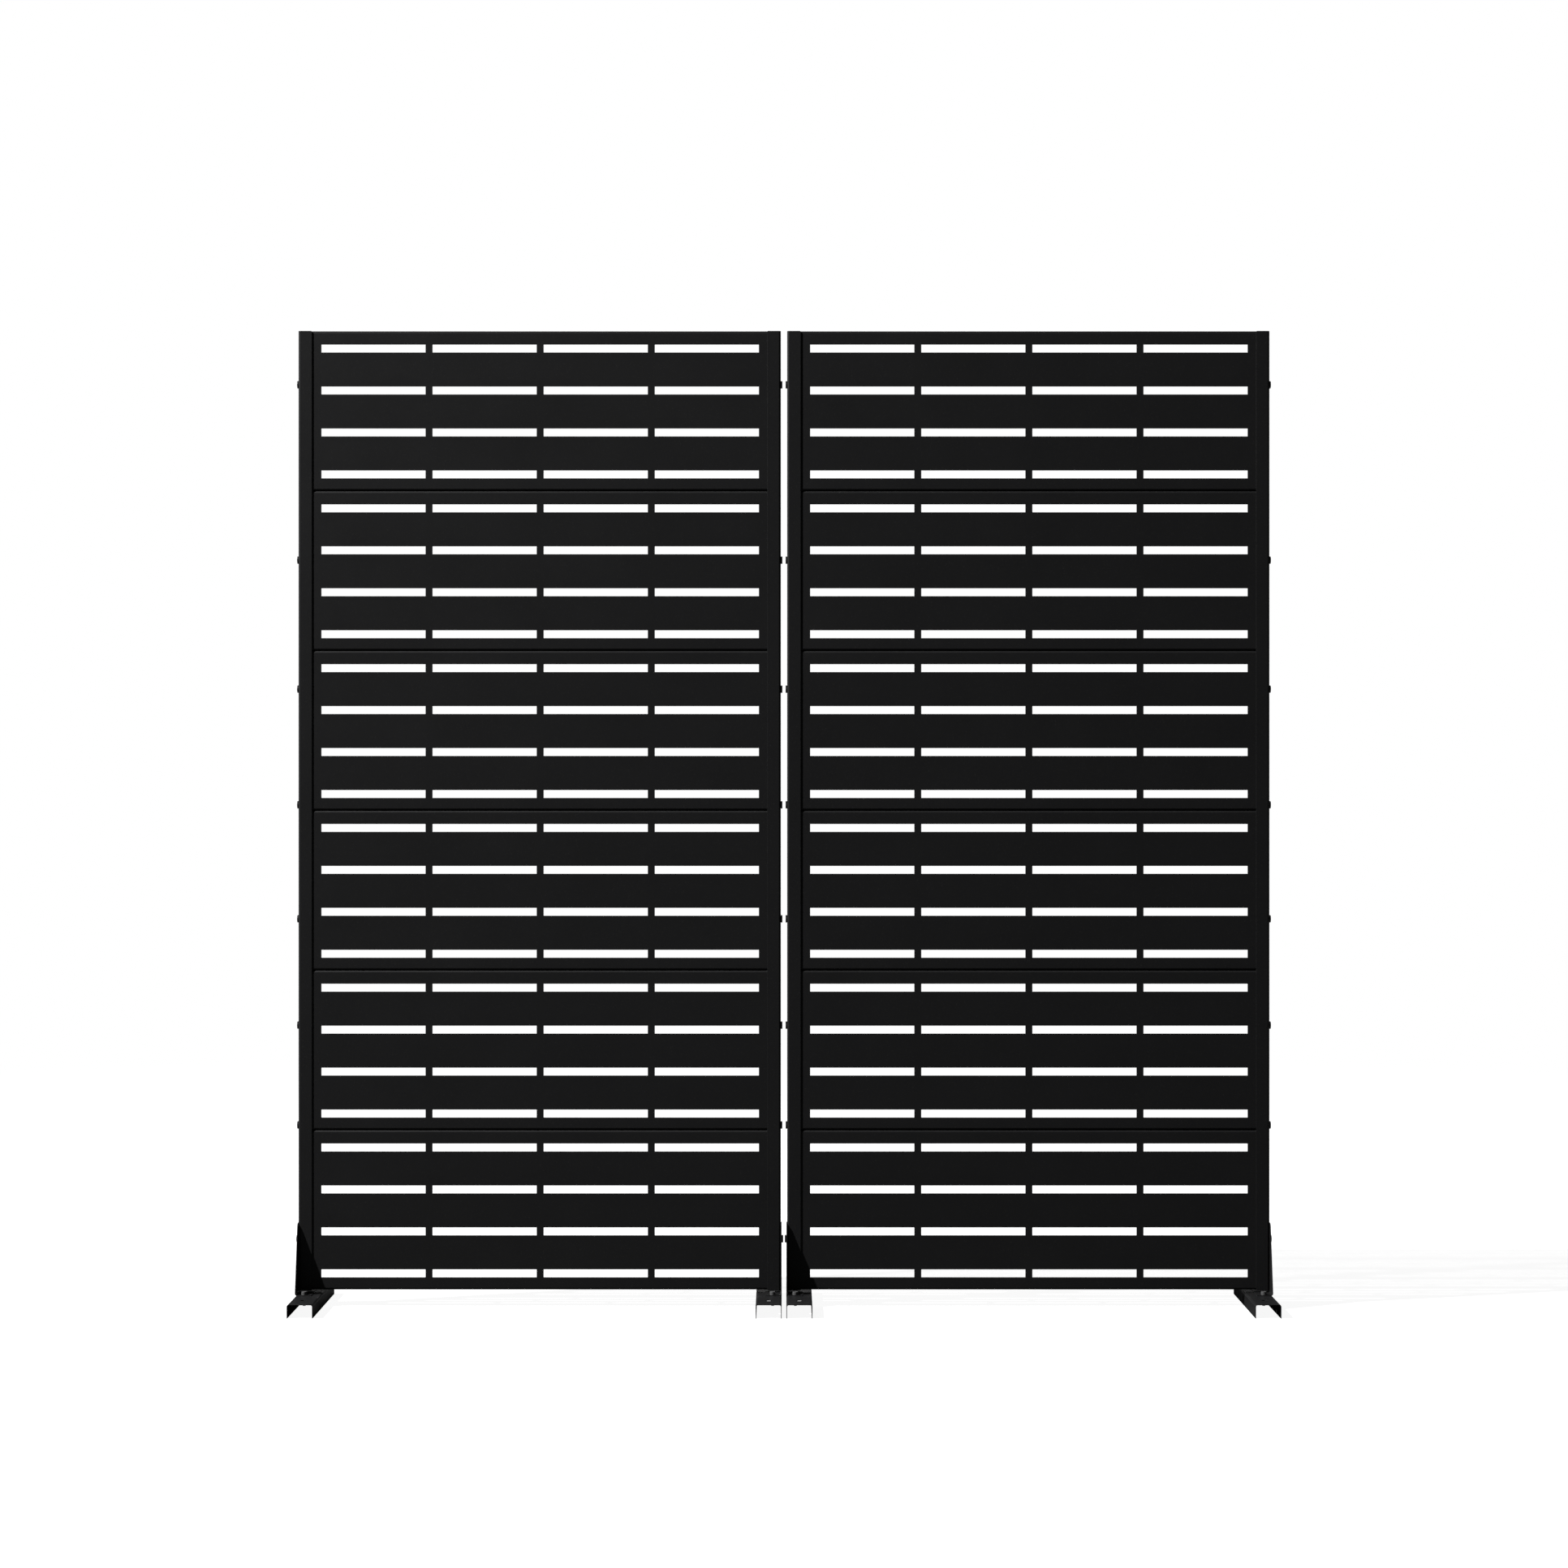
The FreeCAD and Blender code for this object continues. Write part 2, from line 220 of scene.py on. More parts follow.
def pick(kind, inside):
    """Selects only those vertices, edges or faces of the piece in hand that lie wholly inside."""
    bpy.ops.mesh.select_all(action="DESELECT")
    bpy.ops.mesh.select_mode(type=kind)
    mesh = bmesh.from_edit_mesh(bpy.context.object.data)
    for part in {"VERT": mesh.verts, "EDGE": mesh.edges, "FACE": mesh.faces}[kind]:
        corners = [part] if kind == "VERT" else part.verts
        if all(inside(corner.co) for corner in corners):
            part.select_set(True)
    bmesh.update_edit_mesh(bpy.context.object.data)


def between(low, high):
    """A test for points in the box between two corners."""
    return lambda point: all(
        low[axis] - TOUCHING < point[axis] < high[axis] + TOUCHING for axis in range(3)
    )


def everywhere(point):
    return True


def score(axis, places, inside=everywhere):
    """Lines across the sheet at places along an axis."""
    normal = Vector([float(axis == index) for index in range(3)])
    for place in places:
        pick("FACE", inside)
        bpy.ops.mesh.bisect(plane_co=normal * place, plane_no=normal)


def cut_out(low, high):
    pick("FACE", between(low, high))
    bpy.ops.mesh.delete(type="FACE")


def fold(inside, centre, axis, angle, onward):
    """Bends the sheet's edge anticlockwise about an axis, and then carries it straight on."""
    pick("EDGE", inside)
    bpy.ops.mesh.spin(steps=BEND_STEPS, angle=-math.radians(angle), center=centre, axis=axis)
    bpy.ops.mesh.extrude_edges_move(TRANSFORM_OT_translate={"value": onward})


def finish_modifier(piece, kind, settings):
    modifier = piece.modifiers.new(kind.lower(), kind)
    for name, setting in settings.items():
        setattr(modifier, name, setting)
    bpy.ops.object.modifier_apply(modifier=modifier.name)


def give_thickness(piece, sheet, outward):
    """Closes the sheet: its drawn side is the outer one, and its thickness lies behind it."""
    bpy.ops.mesh.select_all(action="SELECT")
    bpy.ops.mesh.remove_doubles(threshold=TOUCHING)
    bpy.ops.mesh.normals_make_consistent(inside=False)
    bpy.ops.object.mode_set(mode="OBJECT")
    largest = max(piece.data.polygons, key=lambda face: face.area)
    if largest.normal.dot(Vector(outward)) < 0:
        piece.data.flip_normals()
    finish_modifier(piece, "SOLIDIFY", {"thickness": sheet, "offset": -1.0, "use_even_offset": True})


def round_edges(piece):
    """Takes the sharpness off every cut edge of a sheet piece."""
    finish_modifier(
        piece,
        "BEVEL",
        {
            "width": EDGE_ROUND,
            "segments": 2,
            "limit_method": "ANGLE",
            "angle_limit": math.radians(40),
        },
    )


def shade_smooth(piece, sharpest):
    """Shades bends as curves and keeps the flats flat; edges sharper than an angle stay sharp."""
    bpy.context.view_layer.objects.active = piece
    piece.select_set(True)
    bpy.ops.object.shade_smooth_by_angle(angle=math.radians(sharpest))
    finish_modifier(piece, "WEIGHTED_NORMAL", {"keep_sharp": True})


def drill(piece, middle, diameter, depth, sides):
    """An upright round hole through the piece."""
    bpy.ops.object.select_all(action="DESELECT")
    bpy.ops.mesh.primitive_cylinder_add(
        vertices=sides, radius=diameter / 2, depth=depth, location=middle
    )
    bit = bpy.context.object
    bpy.context.view_layer.objects.active = piece
    finish_modifier(piece, "BOOLEAN", {"operation": "DIFFERENCE", "object": bit, "solver": "EXACT"})
    bpy.data.objects.remove(bit)


def placed(piece, name, matrix):
    """A copy of a piece with its own mesh, moved or turned in the mesh."""
    copy = piece.copy()
    copy.name = name
    copy.data = piece.data.copy()
    copy.data.name = name
    copy.data.transform(matrix)
    bpy.context.collection.objects.link(copy)
    return copy


def stands_for(piece, name, finish):
    """Gives the piece its name and its finish and puts it in place of its drawn node."""
    piece.name = name + "_finished"
    piece.data.name = piece.name
    piece.data.materials.clear()
    piece.data.materials.append(finish)
    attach(piece, "root")
    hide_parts(name)


def at_four_corners(piece, kind, finish):
    """Puts a piece modelled at the left outer post at all four posts."""
    for corner, matrix in FOUR_CORNERS.items():
        name = f"{corner}_{kind}"
        stands_for(placed(piece, name, matrix), name, finish)
    bpy.data.objects.remove(piece)


half_hole = SQUARE_HOLE / 2
foot_bolt_x = FOOT_OUTER_FACE + FOOT_BOLTS_IN
foot_bolt_rows = (-FOOT_BOLTS_APART / 2, FOOT_BOLTS_APART / 2)


def punch_foot_bolt_holes(inside=everywhere):
    """The two square holes that the foot and the gusset's ledge share."""
    low_x, high_x = foot_bolt_x - half_hole, foot_bolt_x + half_hole
    score(0, [low_x, high_x], inside)
    score(1, [row + side * half_hole for row in foot_bolt_rows for side in (-1, 1)], inside)
    for row in foot_bolt_rows:
        cut_out((low_x, row - half_hole, FOOT_HEIGHT), (high_x, row + half_hole, FOOT_HEIGHT))


frame_coat = satin_coat("frame_coat")

foot_left = FOOT_OUTER_FACE + FOOT_BEND
foot_right = FOOT_OUTER_FACE + FOOT_WIDTH - FOOT_BEND
foot_front = -FOOT_LENGTH / 2
foot = flat_sheet(
    "foot",
    ((foot_left + foot_right) / 2, 0, FOOT_HEIGHT),
    (foot_right - foot_left, FOOT_LENGTH),
    (0, 0, 0),
)
punch_foot_bolt_holes()
wall = FOOT_HEIGHT - FOOT_BEND
for x, angle in ((foot_left, -90), (foot_right, 90)):
    fold(
        between((x, foot_front, FOOT_HEIGHT), (x, -foot_front, FOOT_HEIGHT)),
        (x, 0, wall),
        (0, 1, 0),
        angle,
        (0, 0, -wall),
    )
give_thickness(foot, FOOT_SHEET, (0, 0, 1))
for side in (-1, 1):
    peg_hole = (FOOT_OUTER_FACE + FOOT_WIDTH / 2, side * PEG_HOLES_APART / 2, FOOT_HEIGHT)
    drill(foot, peg_hole, PEG_HOLE, PEG_DRILL_LENGTH, PEG_HOLE_SIDES)
round_edges(foot)
shade_smooth(foot, SHARPEST_BEND)
at_four_corners(foot, "foot", frame_coat)

# Gussets: bent plates of 1.5 mm steel that tie each post to its foot, coated like the rest of the frame.
# The upright part tapers towards the top and is bolted to the post; its lower edge is folded over the
# foot and held there by two bolts.
GUSSET_SHEET = 0.0015
GUSSET_BEND = 0.0045
GUSSET_TOP = 0.1545
GUSSET_HALF_TOP = 0.0135
GUSSET_HALF_FOOT = 0.0475
GUSSET_LEDGE = 0.030
GUSSET_CORNER = 0.008
GUSSET_CORNER_STEPS = 8
GUSSET_BOLT_HEIGHT = 0.1242
GUSSET_FACE = FOOT_OUTER_FACE
UPRIGHT_LEFT = (0, math.radians(-90), 0)


def on_ledge(point):
    return point.z < FOOT_HEIGHT + TOUCHING


bend_top = FOOT_HEIGHT + GUSSET_BEND
taper = (GUSSET_HALF_FOOT - GUSSET_HALF_TOP) / (GUSSET_TOP - FOOT_HEIGHT)
half_at_bend = GUSSET_HALF_FOOT - taper * GUSSET_BEND
gusset = flat_sheet(
    "gusset",
    (GUSSET_FACE, 0, (bend_top + GUSSET_TOP) / 2),
    (GUSSET_TOP - bend_top, 2 * half_at_bend),
    UPRIGHT_LEFT,
)
pick("VERT", lambda point: point.z > GUSSET_TOP - TOUCHING)
bpy.ops.transform.resize(value=(1, GUSSET_HALF_TOP / half_at_bend, 1))
corner_angle = math.radians(90) + math.atan(taper)
bpy.ops.mesh.bevel(
    offset=GUSSET_CORNER / math.tan(corner_angle / 2),
    segments=GUSSET_CORNER_STEPS,
    affect="VERTICES",
)
score(1, [-half_hole, half_hole])
score(2, [GUSSET_BOLT_HEIGHT - half_hole, GUSSET_BOLT_HEIGHT + half_hole])
cut_out(
    (GUSSET_FACE, -half_hole, GUSSET_BOLT_HEIGHT - half_hole),
    (GUSSET_FACE, half_hole, GUSSET_BOLT_HEIGHT + half_hole),
)
fold(
    lambda point: point.z < bend_top + TOUCHING,
    (GUSSET_FACE + GUSSET_BEND, 0, bend_top),
    (0, 1, 0),
    -90,
    (GUSSET_LEDGE - GUSSET_BEND, 0, 0),
)
pick("VERT", on_ledge)
bpy.ops.transform.resize(value=(1, GUSSET_HALF_FOOT / half_at_bend, 1))
punch_foot_bolt_holes(on_ledge)
give_thickness(gusset, GUSSET_SHEET, (-1, 0, 0))
round_edges(gusset)
shade_smooth(gusset, SHARPEST_BEND)
at_four_corners(gusset, "gusset", frame_coat)

# Posts: upright channels folded from 1.5 mm steel, 22 mm deep, whose flanges cover the trays' ends.
# Coated with the rest of the frame. Seven square holes take the side bolts and one the gusset's bolt.
POST_SHEET = 0.0015
POST_BEND = 0.004
POST_HALF_DEPTH = 0.011
POST_FLANGE = 0.025
POST_CORNER = 0.002
POST_CORNER_STEPS = 4
POST_BOTTOM = 0.030
POST_TOP = 1.800
POST_FACE = -0.89585
SIDE_BOLT_HEIGHTS = [0.3344, 0.5188, 0.7152, 0.9258, 1.1395, 1.3778, 1.7017]

web_half = POST_HALF_DEPTH - POST_BEND
flange_edge = POST_FACE + POST_FLANGE


def at_flange_corner(point):
    at_an_end = not POST_BOTTOM + TOUCHING < point.z < POST_TOP - TOUCHING
    return at_an_end and point.x > flange_edge - TOUCHING


post = flat_sheet(
    "post",
    (POST_FACE, 0, (POST_BOTTOM + POST_TOP) / 2),
    (POST_TOP - POST_BOTTOM, 2 * web_half),
    UPRIGHT_LEFT,
)
hole_heights = [GUSSET_BOLT_HEIGHT] + SIDE_BOLT_HEIGHTS
score(1, [-half_hole, half_hole])
score(2, [height + side * half_hole for height in hole_heights for side in (-1, 1)])
for height in hole_heights:
    cut_out(
        (POST_FACE, -half_hole, height - half_hole), (POST_FACE, half_hole, height + half_hole)
    )
for side, angle in ((-1, 90), (1, -90)):
    y = side * web_half
    fold(
        between((POST_FACE, y, POST_BOTTOM), (POST_FACE, y, POST_TOP)),
        (POST_FACE + POST_BEND, y, 0),
        (0, 0, 1),
        angle,
        (POST_FLANGE - POST_BEND, 0, 0),
    )
pick("VERT", at_flange_corner)
bpy.ops.mesh.bevel(offset=POST_CORNER, segments=POST_CORNER_STEPS, affect="VERTICES")
give_thickness(post, POST_SHEET, (-1, 0, 0))
round_edges(post)
shade_smooth(post, SHARPEST_BEND)
at_four_corners(post, "post", frame_coat)

# Trays: six to a screen, folded from 1.2 mm steel, with four rows of four long slots. The upper and
# lower edges are folded back so that the trays stack; the ends are folded back inside the posts, where
# a long slot takes the side bolts at any height. Same satin black coat.
TRAY_SHEET = 0.0012
TRAY_BEND = 0.0045
TRAY_LENGTH = 0.8864
TRAY_HEIGHT = 0.2948
TRAY_COUNT = 6
TRAY_FRONT = -0.0094
TRAY_BACK = 0.0094
TRAY_END_BACK = 0.007
TRAY_END_GAP = 0.0003
TRAY_START = POST_FACE + POST_SHEET + TRAY_END_GAP
TRAY_END = TRAY_START + TRAY_LENGTH
STACK_BOTTOM = 0.0312
SLOT_COLUMNS = 4
SLOT_ROWS = 4
SLOT_FROM_POST_FACE = 0.0425
SLOT_FROM_LOWER_EDGE = 0.02305
SLOT_LENGTH = 0.192
SLOT_BRIDGE = 0.013
SLOT_HEIGHT = 0.01445
SLOT_RISE = 0.0774
END_SLOT_HALF = 0.0033

tray_coat = satin_coat("tray_coat")

tray_top = STACK_BOTTOM + TRAY_HEIGHT
face_start, face_end = TRAY_START + TRAY_BEND, TRAY_END - TRAY_BEND
face_bottom, face_top = STACK_BOTTOM + TRAY_BEND, tray_top - TRAY_BEND
tray = flat_sheet(
    "tray",
    ((face_start + face_end) / 2, TRAY_FRONT, (face_bottom + face_top) / 2),
    (face_end - face_start, face_top - face_bottom),
    (math.radians(90), 0, 0),
)
first_start = POST_FACE + SLOT_FROM_POST_FACE
first_bottom = STACK_BOTTOM + SLOT_FROM_LOWER_EDGE
slot_starts = [first_start + column * (SLOT_LENGTH + SLOT_BRIDGE) for column in range(SLOT_COLUMNS)]
slot_bottoms = [first_bottom + row * SLOT_RISE for row in range(SLOT_ROWS)]
score(0, [start + reach for start in slot_starts for reach in (0, SLOT_LENGTH)])
score(2, [bottom + reach for bottom in slot_bottoms for reach in (0, SLOT_HEIGHT)])
for start in slot_starts:
    for bottom in slot_bottoms:
        cut_out(
            (start, TRAY_FRONT, bottom), (start + SLOT_LENGTH, TRAY_FRONT, bottom + SLOT_HEIGHT)
        )
bend_back = TRAY_FRONT + TRAY_BEND
for z, angle in ((face_bottom, 90), (face_top, -90)):
    fold(
        between((face_start, TRAY_FRONT, z), (face_end, TRAY_FRONT, z)),
        (0, bend_back, z),
        (1, 0, 0),
        angle,
        (0, TRAY_BACK - bend_back, 0),
    )
for x, outside, angle in ((face_start, TRAY_START, -90), (face_end, TRAY_END, 90)):
    fold(
        between((x, TRAY_FRONT, face_bottom), (x, TRAY_FRONT, face_top)),
        (x, bend_back, 0),
        (0, 0, 1),
        angle,
        (0, TRAY_END_BACK - bend_back, 0),
    )
    for z, reach in ((face_bottom, -TRAY_BEND), (face_top, TRAY_BEND)):
        pick("EDGE", between((outside, bend_back, z), (outside, TRAY_END_BACK, z)))
        bpy.ops.mesh.extrude_edges_move(TRANSFORM_OT_translate={"value": (0, 0, reach)})
    end_flange = between((outside, bend_back, STACK_BOTTOM), (outside, TRAY_END_BACK, tray_top))
    score(1, [-END_SLOT_HALF, END_SLOT_HALF], end_flange)
    cut_out((outside, -END_SLOT_HALF, face_bottom), (outside, END_SLOT_HALF, face_top))
give_thickness(tray, TRAY_SHEET, (0, -1, 0))
round_edges(tray)
shade_smooth(tray, SHARPEST_BEND)
for screen, matrix in (("left", Matrix.Identity(4)), ("right", NEXT_SCREEN)):
    for number in range(TRAY_COUNT):
        name = f"{screen}_tray_{number + 1}"
        lifted = matrix @ Matrix.Translation((0, 0, number * TRAY_HEIGHT))
        stands_for(placed(tray, name, lifted), name, tray_coat)
bpy.data.objects.remove(tray)

# Bolts: round heads over a square neck that keeps them from turning, M6 threads, blackened steel.
# The side bolts, with wide flat heads, hold the trays' ends in the posts, and one more ties each gusset
# to its post. Two bolts with narrow tall heads hold each gusset down on its foot; they are of greyer
# steel, and their grey is made lighter still as a painted highlight standing in for the shine on their
# heads.
SIDE_HEAD_RADIUS = 0.007
SIDE_HEAD_HEIGHT = 0.003
FOOT_HEAD_RADIUS = 0.0052
FOOT_HEAD_HEIGHT = 0.006
HEAD_SIDES = 40
HEAD_ROUND = 0.0007
HEAD_UNDER_ROUND = 0.00012
CROWN_INSET = 0.45
CROWN_SINK = 0.0003
CROWN_ROUND = 0.0004
NECK_LENGTH = 0.0026
NECK_ROUND = 0.0003
SHANK_RADIUS = 0.003
SHANK_SIDES = 20
SHANK_IN_NECK = 0.00075
THREAD_ROOT = 0.82
THREAD_PITCH = 0.001
CREST_AT = 0.25
GROOVE_AT = 0.75
SIDE_BOLT_LENGTH = 0.016
FOOT_BOLT_LENGTH = 0.020
HEAD_LEFT = Matrix.Rotation(math.radians(-90), 4, "Y")

bolt_black = coated_steel(
    "bolt_black",
    colour=(0.014, 0.014, 0.0145),
    worn_colour=(0.06, 0.058, 0.055),
    roughness=0.3,
    grain=0.000006,
    specular=0.5,
)
# Partly painted highlight: the foot bolts' grey base colour is lighter than their steel, to stand in for
# the shine on their heads.
grey_bolt_with_painted_highlight = coated_steel(
    "grey_bolt_with_painted_highlight",
    colour=(0.07, 0.07, 0.071),
    worn_colour=(0.11, 0.108, 0.104),
    roughness=0.5,
    grain=0.000006,
    specular=0.3,
)


def solid_round(radius, low, high, sides):
    """An upright cylinder from one height to another, with its place in its mesh."""
    bpy.ops.object.select_all(action="DESELECT")
    bpy.ops.mesh.primitive_cylinder_add(
        vertices=sides, radius=radius, depth=high - low, location=(0, 0, (low + high) / 2)
    )
    bpy.ops.object.transform_apply(location=True, rotation=True, scale=True)
    return bpy.context.object


def make_head(name, radius, height):
    """A round head with a soft rim and a slightly sunk crown."""
    head = solid_round(radius, 0, height, HEAD_SIDES)
    head.name = name
    bpy.ops.object.mode_set(mode="EDIT")
    pick("EDGE", lambda point: point.z > height - TOUCHING)
    bpy.ops.mesh.bevel(offset=HEAD_ROUND, segments=5, affect="EDGES")
    pick("FACE", lambda point: point.z > height - TOUCHING)
    bpy.ops.mesh.inset(thickness=radius * CROWN_INSET)
    bpy.ops.transform.translate(value=(0, 0, -CROWN_SINK))
    pick("EDGE", lambda point: abs(point.z - height + CROWN_SINK) < TOUCHING)
    bpy.ops.mesh.bevel(offset=CROWN_ROUND, segments=3, affect="EDGES")
    pick("EDGE", lambda point: point.z < TOUCHING)
    bpy.ops.mesh.bevel(offset=HEAD_UNDER_ROUND, segments=2, affect="EDGES")
    bpy.ops.object.mode_set(mode="OBJECT")
    return head


def make_neck():
    """The square neck, which reaches a little way into the head."""
    bpy.ops.object.select_all(action="DESELECT")
    bpy.ops.mesh.primitive_cube_add(size=2 * SHANK_RADIUS, location=(0, 0, 0))
    neck = bpy.context.object
    bpy.ops.object.mode_set(mode="EDIT")
    pick("VERT", lambda point: point.z > 0)
    bpy.ops.transform.translate(value=(0, 0, CROWN_SINK - SHANK_RADIUS))
    pick("VERT", lambda point: point.z < -SHANK_RADIUS / 2)
    bpy.ops.transform.translate(value=(0, 0, SHANK_RADIUS - NECK_LENGTH))
    bpy.ops.object.mode_set(mode="OBJECT")
    finish_modifier(neck, "BEVEL", {"width": NECK_ROUND, "segments": 2})
    return neck


def make_shank(length):
    """The threaded part: a groove between crests at every turn, and a tapered end."""
    shank = solid_round(SHANK_RADIUS, -length, SHANK_IN_NECK - NECK_LENGTH, SHANK_SIDES)
    bpy.ops.object.mode_set(mode="EDIT")
    turns = range(int((length - NECK_LENGTH) / THREAD_PITCH))
    grooves = [-length + (turn + GROOVE_AT) * THREAD_PITCH for turn in turns]
    crests = [-length + (turn + CREST_AT) * THREAD_PITCH for turn in turns]
    score(2, sorted(grooves + crests))
    for groove in grooves:
        pick("VERT", lambda point: abs(point.z - groove) < TOUCHING)
        bpy.ops.transform.resize(value=(THREAD_ROOT, THREAD_ROOT, 1))
    pick("VERT", lambda point: point.z < -length + TOUCHING)
    bpy.ops.transform.resize(value=(THREAD_ROOT, THREAD_ROOT, 1))
    bpy.ops.object.mode_set(mode="OBJECT")
    return shank


def make_bolt(name, length, head_radius, head_height):
    """A bolt with its head up and the underside of the head at the origin."""
    bolt = make_head(name, head_radius, head_height)
    for part in (make_neck(), make_shank(length)):
        bpy.context.view_layer.objects.active = bolt
        finish_modifier(bolt, "BOOLEAN", {"operation": "UNION", "object": part, "solver": "EXACT"})
        bpy.data.objects.remove(part)
    shade_smooth(bolt, sharpest=32)
    return bolt


def on_post(face, height):
    return Matrix.Translation((face, 0, height)) @ HEAD_LEFT


def joined(piece, name, seats):
    """Copies of a piece at a list of seats, as one piece."""
    copies = [placed(piece, name, seat) for seat in seats]
    bpy.ops.object.select_all(action="DESELECT")
    for copy in copies:
        copy.select_set(True)
    bpy.context.view_layer.objects.active = copies[0]
    bpy.ops.object.join()
    return copies[0]


def fasten(piece, kind, seats, groups, finish):
    """Joined copies at the seats of each group's posts: one piece for each post or each screen."""
    for group in groups:
        corners = [matrix for corner, matrix in FOUR_CORNERS.items() if corner.startswith(group)]
        name = f"{group}_{kind}"
        copies = joined(piece, name, [corner @ seat for corner in corners for seat in seats])
        stands_for(copies, name, finish)


EACH_POST = list(FOUR_CORNERS)
EACH_SCREEN = ["left", "right"]

side_bolt = make_bolt("side_bolt", SIDE_BOLT_LENGTH, SIDE_HEAD_RADIUS, SIDE_HEAD_HEIGHT)
foot_bolt = make_bolt("foot_bolt", FOOT_BOLT_LENGTH, FOOT_HEAD_RADIUS, FOOT_HEAD_HEIGHT)
side_seats = [on_post(POST_FACE, height) for height in SIDE_BOLT_HEIGHTS]
gusset_seats = [on_post(GUSSET_FACE, GUSSET_BOLT_HEIGHT)]
ledge_top = FOOT_HEIGHT + GUSSET_SHEET
foot_seats = [Matrix.Translation((foot_bolt_x, row, ledge_top)) for row in foot_bolt_rows]
fasten(side_bolt, "side_bolts", side_seats, EACH_POST, bolt_black)
fasten(side_bolt, "gusset_bolts", gusset_seats, EACH_SCREEN, bolt_black)
fasten(foot_bolt, "foot_bolts", foot_seats, EACH_SCREEN, grey_bolt_with_painted_highlight)
bpy.data.objects.remove(side_bolt)
bpy.data.objects.remove(foot_bolt)

# Nuts: plain hexagon nuts, 10 mm across flats, blackened like the bolts and chamfered on both faces.
# Those of the side bolts clamp the trays' ends inside the posts; those of the foot bolts sit under the
# feet.
NUT_CORNER_RADIUS = 0.0057735
NUT_HEIGHT = 0.005
NUT_BORE = 0.0062
NUT_BORE_SIDES = 24
NUT_CHAMFER = 0.00085
CHAMFER_SLOPE = 1 / math.tan(math.radians(30))
TURNED_RADIUS = NUT_CORNER_RADIUS * 1.01
TURNED_SIDES = 48
NUT_DEPTH = POST_SHEET + TRAY_END_GAP + TRAY_SHEET

nut_black = coated_steel(
    "nut_black",
    colour=(0.014, 0.014, 0.0145),
    worn_colour=(0.05, 0.049, 0.046),
    roughness=0.36,
    grain=0.000008,
    specular=0.5,
)

bpy.ops.object.select_all(action="DESELECT")
bpy.ops.mesh.primitive_cylinder_add(
    vertices=6,
    radius=NUT_CORNER_RADIUS,
    depth=NUT_HEIGHT,
    location=(0, 0, -NUT_HEIGHT / 2),
    rotation=(0, 0, math.radians(30)),
)
nut = bpy.context.object
nut.name = "nut"
bpy.ops.object.transform_apply(location=True, rotation=True, scale=True)
bpy.ops.object.select_all(action="DESELECT")
bpy.ops.mesh.primitive_cylinder_add(
    vertices=TURNED_SIDES,
    radius=TURNED_RADIUS,
    depth=NUT_HEIGHT * CHAMFER_SLOPE,
    rotation=(0, 0, math.pi / TURNED_SIDES),
)
turned_blank = bpy.context.object
finish_modifier(turned_blank, "BEVEL", {"width": NUT_CHAMFER, "segments": 1})
turned_blank.scale.z = 1 / CHAMFER_SLOPE
turned_blank.location.z = -NUT_HEIGHT / 2
bpy.context.view_layer.objects.active = nut
finish_modifier(nut, "BOOLEAN", {"operation": "INTERSECT", "object": turned_blank, "solver": "EXACT"})
bpy.data.objects.remove(turned_blank)
drill(nut, (0, 0, -NUT_HEIGHT / 2), NUT_BORE, 2 * NUT_HEIGHT, NUT_BORE_SIDES)
shade_smooth(nut, sharpest=25)

nut_face = POST_FACE + NUT_DEPTH
foot_underside = FOOT_HEIGHT - FOOT_SHEET
side_seats = [on_post(nut_face, height) for height in SIDE_BOLT_HEIGHTS]
gusset_seats = [on_post(nut_face, GUSSET_BOLT_HEIGHT)]
foot_seats = [Matrix.Translation((foot_bolt_x, row, foot_underside)) for row in foot_bolt_rows]
fasten(nut, "side_nuts", side_seats, EACH_POST, nut_black)
fasten(nut, "gusset_nuts", gusset_seats, EACH_SCREEN, nut_black)
fasten(nut, "foot_nuts", foot_seats, EACH_SCREEN, nut_black)
bpy.data.objects.remove(nut)

# Floor and backdrop: a plain white sweep that goes up behind the screens. The floor keeps a faint
# shadow; further out it is as white as the backdrop. The coat mirrors the floor only from well behind
# the screens, and the backdrop only faintly.
FLOOR_SIZE = 60.0
FLOOR_DROP = 0.0002
FLOOR_REFLECTED = (0.22, 0.22, 0.22, 1)
FLOOR_GLOW = 0.92
FLOOR_LIGHTING = (0.05, 0.05, 0.05, 1)
SHADOWS_TO = (2.5, 6.0)
MIRRORED_FLOOR = 0.7
MIRRORED_FLOOR_FROM = (0.5, 1.2)
MIRRORED_BACKDROP = 0.04
MIRRORED_BACKDROP_FROM = (0.0, 0.1)
ROOM_LIGHT = 0.03
WHITE = (1, 1, 1, 1)


def seen_white(shader, place, mirrored, behind):
    """1 where the camera looks straight at it; a share in mirrors, and only behind the screens."""
    camera_ray, glossy_ray, transmission_ray = [
        shader.node("ShaderNodeLightPath", {}, {}, f"Is {kind} Ray")
        for kind in ("Camera", "Glossy", "Transmission")
    ]
    back = shader.step(shader.node("ShaderNodeSeparateXYZ", {}, {0: place}, "Y"), *behind)
    return camera_ray + (glossy_ray + transmission_ray) * back * mirrored


bpy.ops.object.select_all(action="DESELECT")
bpy.ops.mesh.primitive_plane_add(size=FLOOR_SIZE, location=(0, 0, -FLOOR_DROP))
floor = bpy.context.object
floor.name = "floor"
floor_white = bpy.data.materials.new("floor_white")
shader = Shader(floor_white)
place = shader.node("ShaderNodeTexCoord", {}, {}, "Object")
distance = shader.node("ShaderNodeVectorMath", {"operation": "LENGTH"}, {0: place}, "Value")
far = shader.step(distance, *SHADOWS_TO)
pale = shader.node("ShaderNodeBsdfDiffuse", {}, {"Color": FLOOR_REFLECTED})
glow = shader.node("ShaderNodeEmission", {}, {"Color": WHITE, "Strength": FLOOR_GLOW})
near_floor = shader.node("ShaderNodeAddShader", {}, {0: pale, 1: glow})
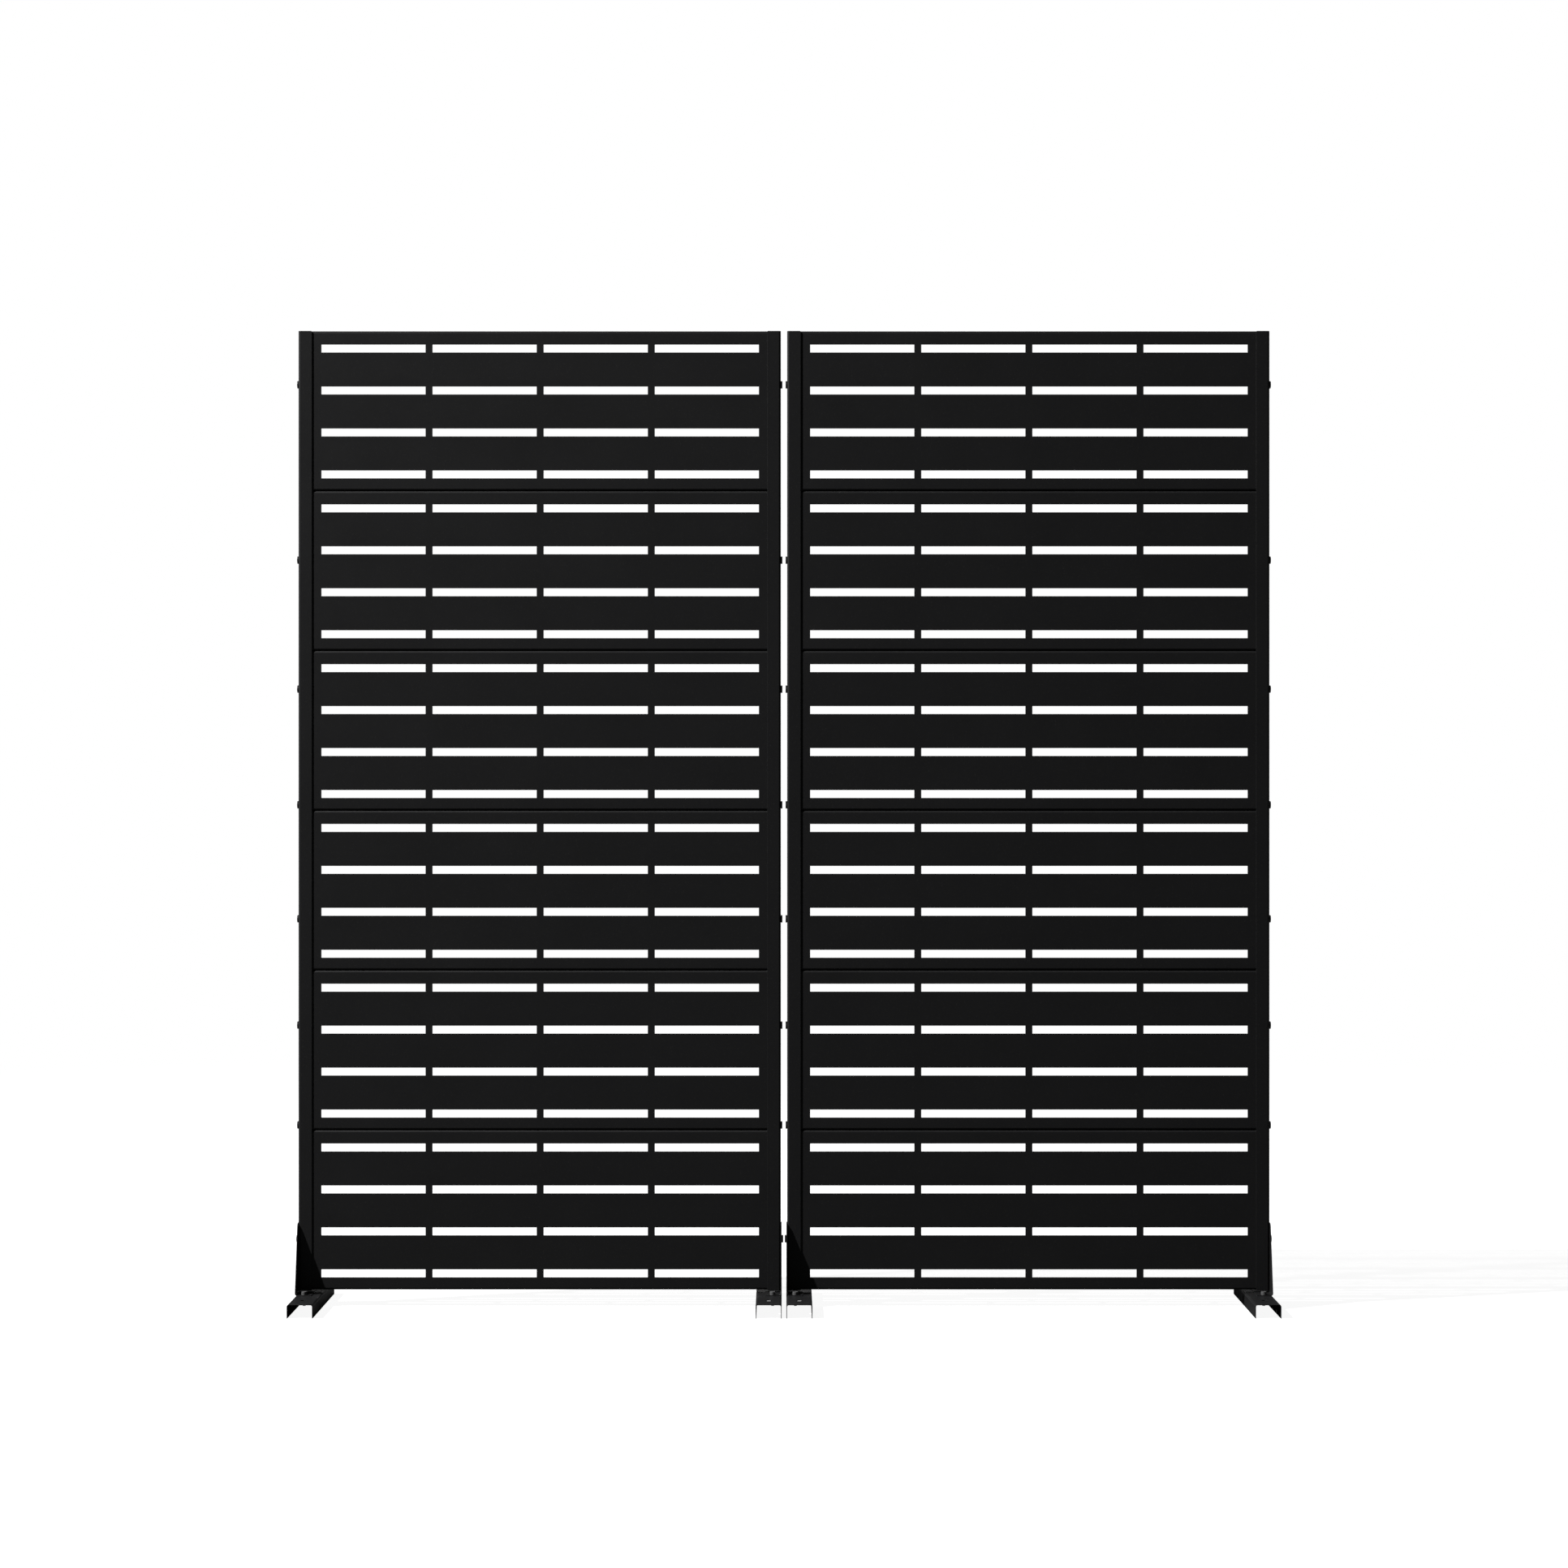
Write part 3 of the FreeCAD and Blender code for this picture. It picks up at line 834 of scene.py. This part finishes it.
white = shader.node("ShaderNodeEmission", {}, {"Color": WHITE, "Strength": 1.0})
shown = shader.node("ShaderNodeMixShader", {}, {0: far, 1: near_floor, 2: white})
lighting = shader.node("ShaderNodeBsdfDiffuse", {}, {"Color": FLOOR_LIGHTING})
seen = seen_white(shader, place, MIRRORED_FLOOR, MIRRORED_FLOOR_FROM)
surface = shader.node("ShaderNodeMixShader", {}, {0: seen, 1: lighting, 2: shown})
shader.node("ShaderNodeOutputMaterial", {}, {"Surface": surface})
floor.data.materials.append(floor_white)

world = bpy.data.worlds.new("studio")
bpy.context.scene.world = world
shader = Shader(world)
place = shader.node("ShaderNodeTexCoord", {}, {}, "Generated")
seen = seen_white(shader, place, MIRRORED_BACKDROP, MIRRORED_BACKDROP_FROM)
backdrop = {"Color": WHITE, "Strength": seen.at_least(ROOM_LIGHT)}
background = shader.node("ShaderNodeBackground", {}, backdrop)
shader.node("ShaderNodeOutputWorld", {}, {"Surface": background})

# Lamps: a small hard key lamp at the upper left in front draws the gussets' shadows on the posts, and a
# wide soft lamp high behind gives the feet their light.
MIDDLE = Vector((0, 0, 0.9))


def lamp(name, place, size, power):
    """A round lamp that shines on the middle of the screens; size is its diameter."""
    data = bpy.data.lights.new(name, "AREA")
    data.shape = "DISK"
    data.size = size
    data.energy = power
    light = bpy.data.objects.new(name, data)
    light.location = place
    light.rotation_euler = (MIDDLE - place).to_track_quat("-Z", "Y").to_euler()
    bpy.context.collection.objects.link(light)


lamp("key_lamp", Vector((-8.0, -2.9, 8.5)), size=0.25, power=3000)
lamp("rear_lamp", Vector((0.0, 4.5, 4.5)), size=3.0, power=55)

# Camera: level, square to the screens and a little above their middle.
CAMERA_PLACE = (0.0, -6.330, 0.9643)
CAMERA_LENS = 78.66
CAMERA_SENSOR = 36
CAMERA_REACH = 200

camera_data = bpy.data.cameras.new("camera")
camera_data.lens = CAMERA_LENS
camera_data.sensor_width = CAMERA_SENSOR
camera_data.clip_end = CAMERA_REACH
camera = bpy.data.objects.new("camera", camera_data)
camera.location = CAMERA_PLACE
camera.rotation_euler = (math.radians(90), 0, 0)
bpy.context.collection.objects.link(camera)
bpy.context.scene.camera = camera
bpy.context.scene.view_settings.view_transform = "Standard"
